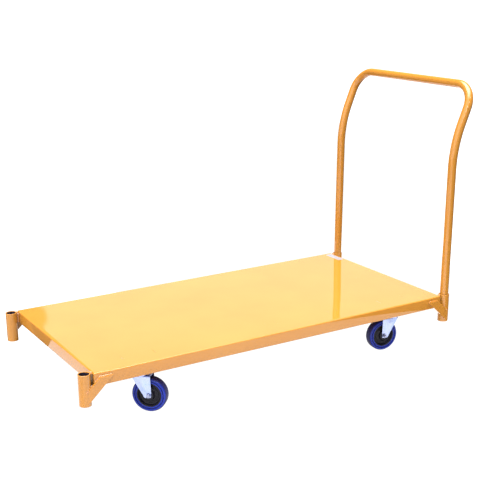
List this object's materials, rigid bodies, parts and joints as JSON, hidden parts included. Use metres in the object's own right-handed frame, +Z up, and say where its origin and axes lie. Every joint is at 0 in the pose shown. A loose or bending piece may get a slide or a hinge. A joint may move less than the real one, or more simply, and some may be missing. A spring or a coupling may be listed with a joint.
{
  "type": "platform trolley",
  "caption": "Flat steel platform trolley: folded deck, tube sockets at the corners, lift-out cranked push handle, and swivel castors with rubber tyres.",
  "frame": {"origin": "floor point under the middle of the whole trolley's box: the castors stand on z = 0", "axes": "+X towards the push handle, +Y towards the trolley's right side as it is pushed, +Z up out of the load deck"},
  "size_m": [1.6996, 0.766, 1.0425],
  "materials": {
    "orange_paint": "gloss powder coat",
    "zinc_plate": "bright zinc plated pressed steel",
    "zinc_fastener": "zinc plated",
    "bright_steel": "machined",
    "black_nylon": "moulded nylon, satin",
    "blue_rubber": "elastic rubber, satin",
    "label_film": "blank film label"
  },
  "bodies": {
    "platform": {"deck_sheet": "orange_paint", "front_castor_rail": "orange_paint", "rear_castor_rail": "orange_paint", "deck_ribs": "orange_paint", "socket_packers": "orange_paint", "socket_stop_rings": "orange_paint", "deck_label": "label_film", "castor_bolts": "zinc_fastener", "castor_nuts": "zinc_fastener", "front_left_socket": "orange_paint", "front_left_strap": "orange_paint", "front_left_top_plate": "zinc_plate", "front_left_kingpin": "zinc_plate", "front_right_socket": "orange_paint", "front_right_strap": "orange_paint", "front_right_top_plate": "zinc_plate", "front_right_kingpin": "zinc_plate", "rear_left_socket": "orange_paint", "rear_left_strap": "orange_paint", "rear_left_top_plate": "zinc_plate", "rear_left_kingpin": "zinc_plate", "rear_right_socket": "orange_paint", "rear_right_strap": "orange_paint", "rear_right_top_plate": "zinc_plate", "rear_right_kingpin": "zinc_plate"},
    "handle": {"push_handle": "orange_paint"},
    "front_left_castor": {"front_left_swivel_balls": "bright_steel", "front_left_fork": "zinc_plate", "front_left_axle_bolt": "zinc_fastener", "front_left_axle_nut": "zinc_fastener", "front_left_axle_bush": "bright_steel"},
    "front_left_wheel": {"front_left_wheel_bearing": "bright_steel", "front_left_wheel_centre": "black_nylon", "front_left_tyre": "blue_rubber"},
    "front_right_castor": {"front_right_swivel_balls": "bright_steel", "front_right_fork": "zinc_plate", "front_right_axle_bolt": "zinc_fastener", "front_right_axle_nut": "zinc_fastener", "front_right_axle_bush": "bright_steel"},
    "front_right_wheel": {"front_right_wheel_bearing": "bright_steel", "front_right_wheel_centre": "black_nylon", "front_right_tyre": "blue_rubber"},
    "rear_left_castor": {"rear_left_swivel_balls": "bright_steel", "rear_left_fork": "zinc_plate", "rear_left_axle_bolt": "zinc_fastener", "rear_left_axle_nut": "zinc_fastener", "rear_left_axle_bush": "bright_steel"},
    "rear_left_wheel": {"rear_left_wheel_bearing": "bright_steel", "rear_left_wheel_centre": "black_nylon", "rear_left_tyre": "blue_rubber"},
    "rear_right_castor": {"rear_right_swivel_balls": "bright_steel", "rear_right_fork": "zinc_plate", "rear_right_axle_bolt": "zinc_fastener", "rear_right_axle_nut": "zinc_fastener", "rear_right_axle_bush": "bright_steel"},
    "rear_right_wheel": {"rear_right_wheel_bearing": "bright_steel", "rear_right_wheel_centre": "black_nylon", "rear_right_tyre": "blue_rubber"}
  },
  "joints": [
    {"name": "handle_lift", "type": "slide", "parent": "platform", "child": "handle", "axis": [0.014, 0, 0.9999], "range_m": [0, 0.12]},
    {"name": "front_left_swivel", "type": "hinge", "parent": "platform", "child": "front_left_castor", "pos_m": [-0.60256, -0.301, 0.143], "axis": [0, 0, 1], "continuous": true},
    {"name": "front_left_roll", "type": "hinge", "parent": "front_left_castor", "child": "front_left_wheel", "pos_m": [-0.57499, -0.32716, 0.0625], "axis": [0.6884, 0.7254, 0], "continuous": true},
    {"name": "front_right_swivel", "type": "hinge", "parent": "platform", "child": "front_right_castor", "pos_m": [-0.60256, 0.301, 0.143], "axis": [0, 0, 1], "continuous": true},
    {"name": "front_right_roll", "type": "hinge", "parent": "front_right_castor", "child": "front_right_wheel", "pos_m": [-0.57261, 0.2776, 0.0625], "axis": [0.6157, 0.788, 0], "continuous": true},
    {"name": "rear_left_swivel", "type": "hinge", "parent": "platform", "child": "rear_left_castor", "pos_m": [0.50344, -0.301, 0.143], "axis": [0, 0, 1], "continuous": true},
    {"name": "rear_left_roll", "type": "hinge", "parent": "rear_left_castor", "child": "rear_left_wheel", "pos_m": [0.46581, -0.29571, 0.0625], "axis": [-0.1392, -0.9903, 0], "continuous": true},
    {"name": "rear_right_swivel", "type": "hinge", "parent": "platform", "child": "rear_right_castor", "pos_m": [0.50344, 0.301, 0.143], "axis": [0, 0, 1], "continuous": true},
    {"name": "rear_right_roll", "type": "hinge", "parent": "rear_right_castor", "child": "rear_right_wheel", "pos_m": [0.46657, 0.31019, 0.0625], "axis": [-0.2419, -0.9703, 0], "continuous": true}
  ]
}
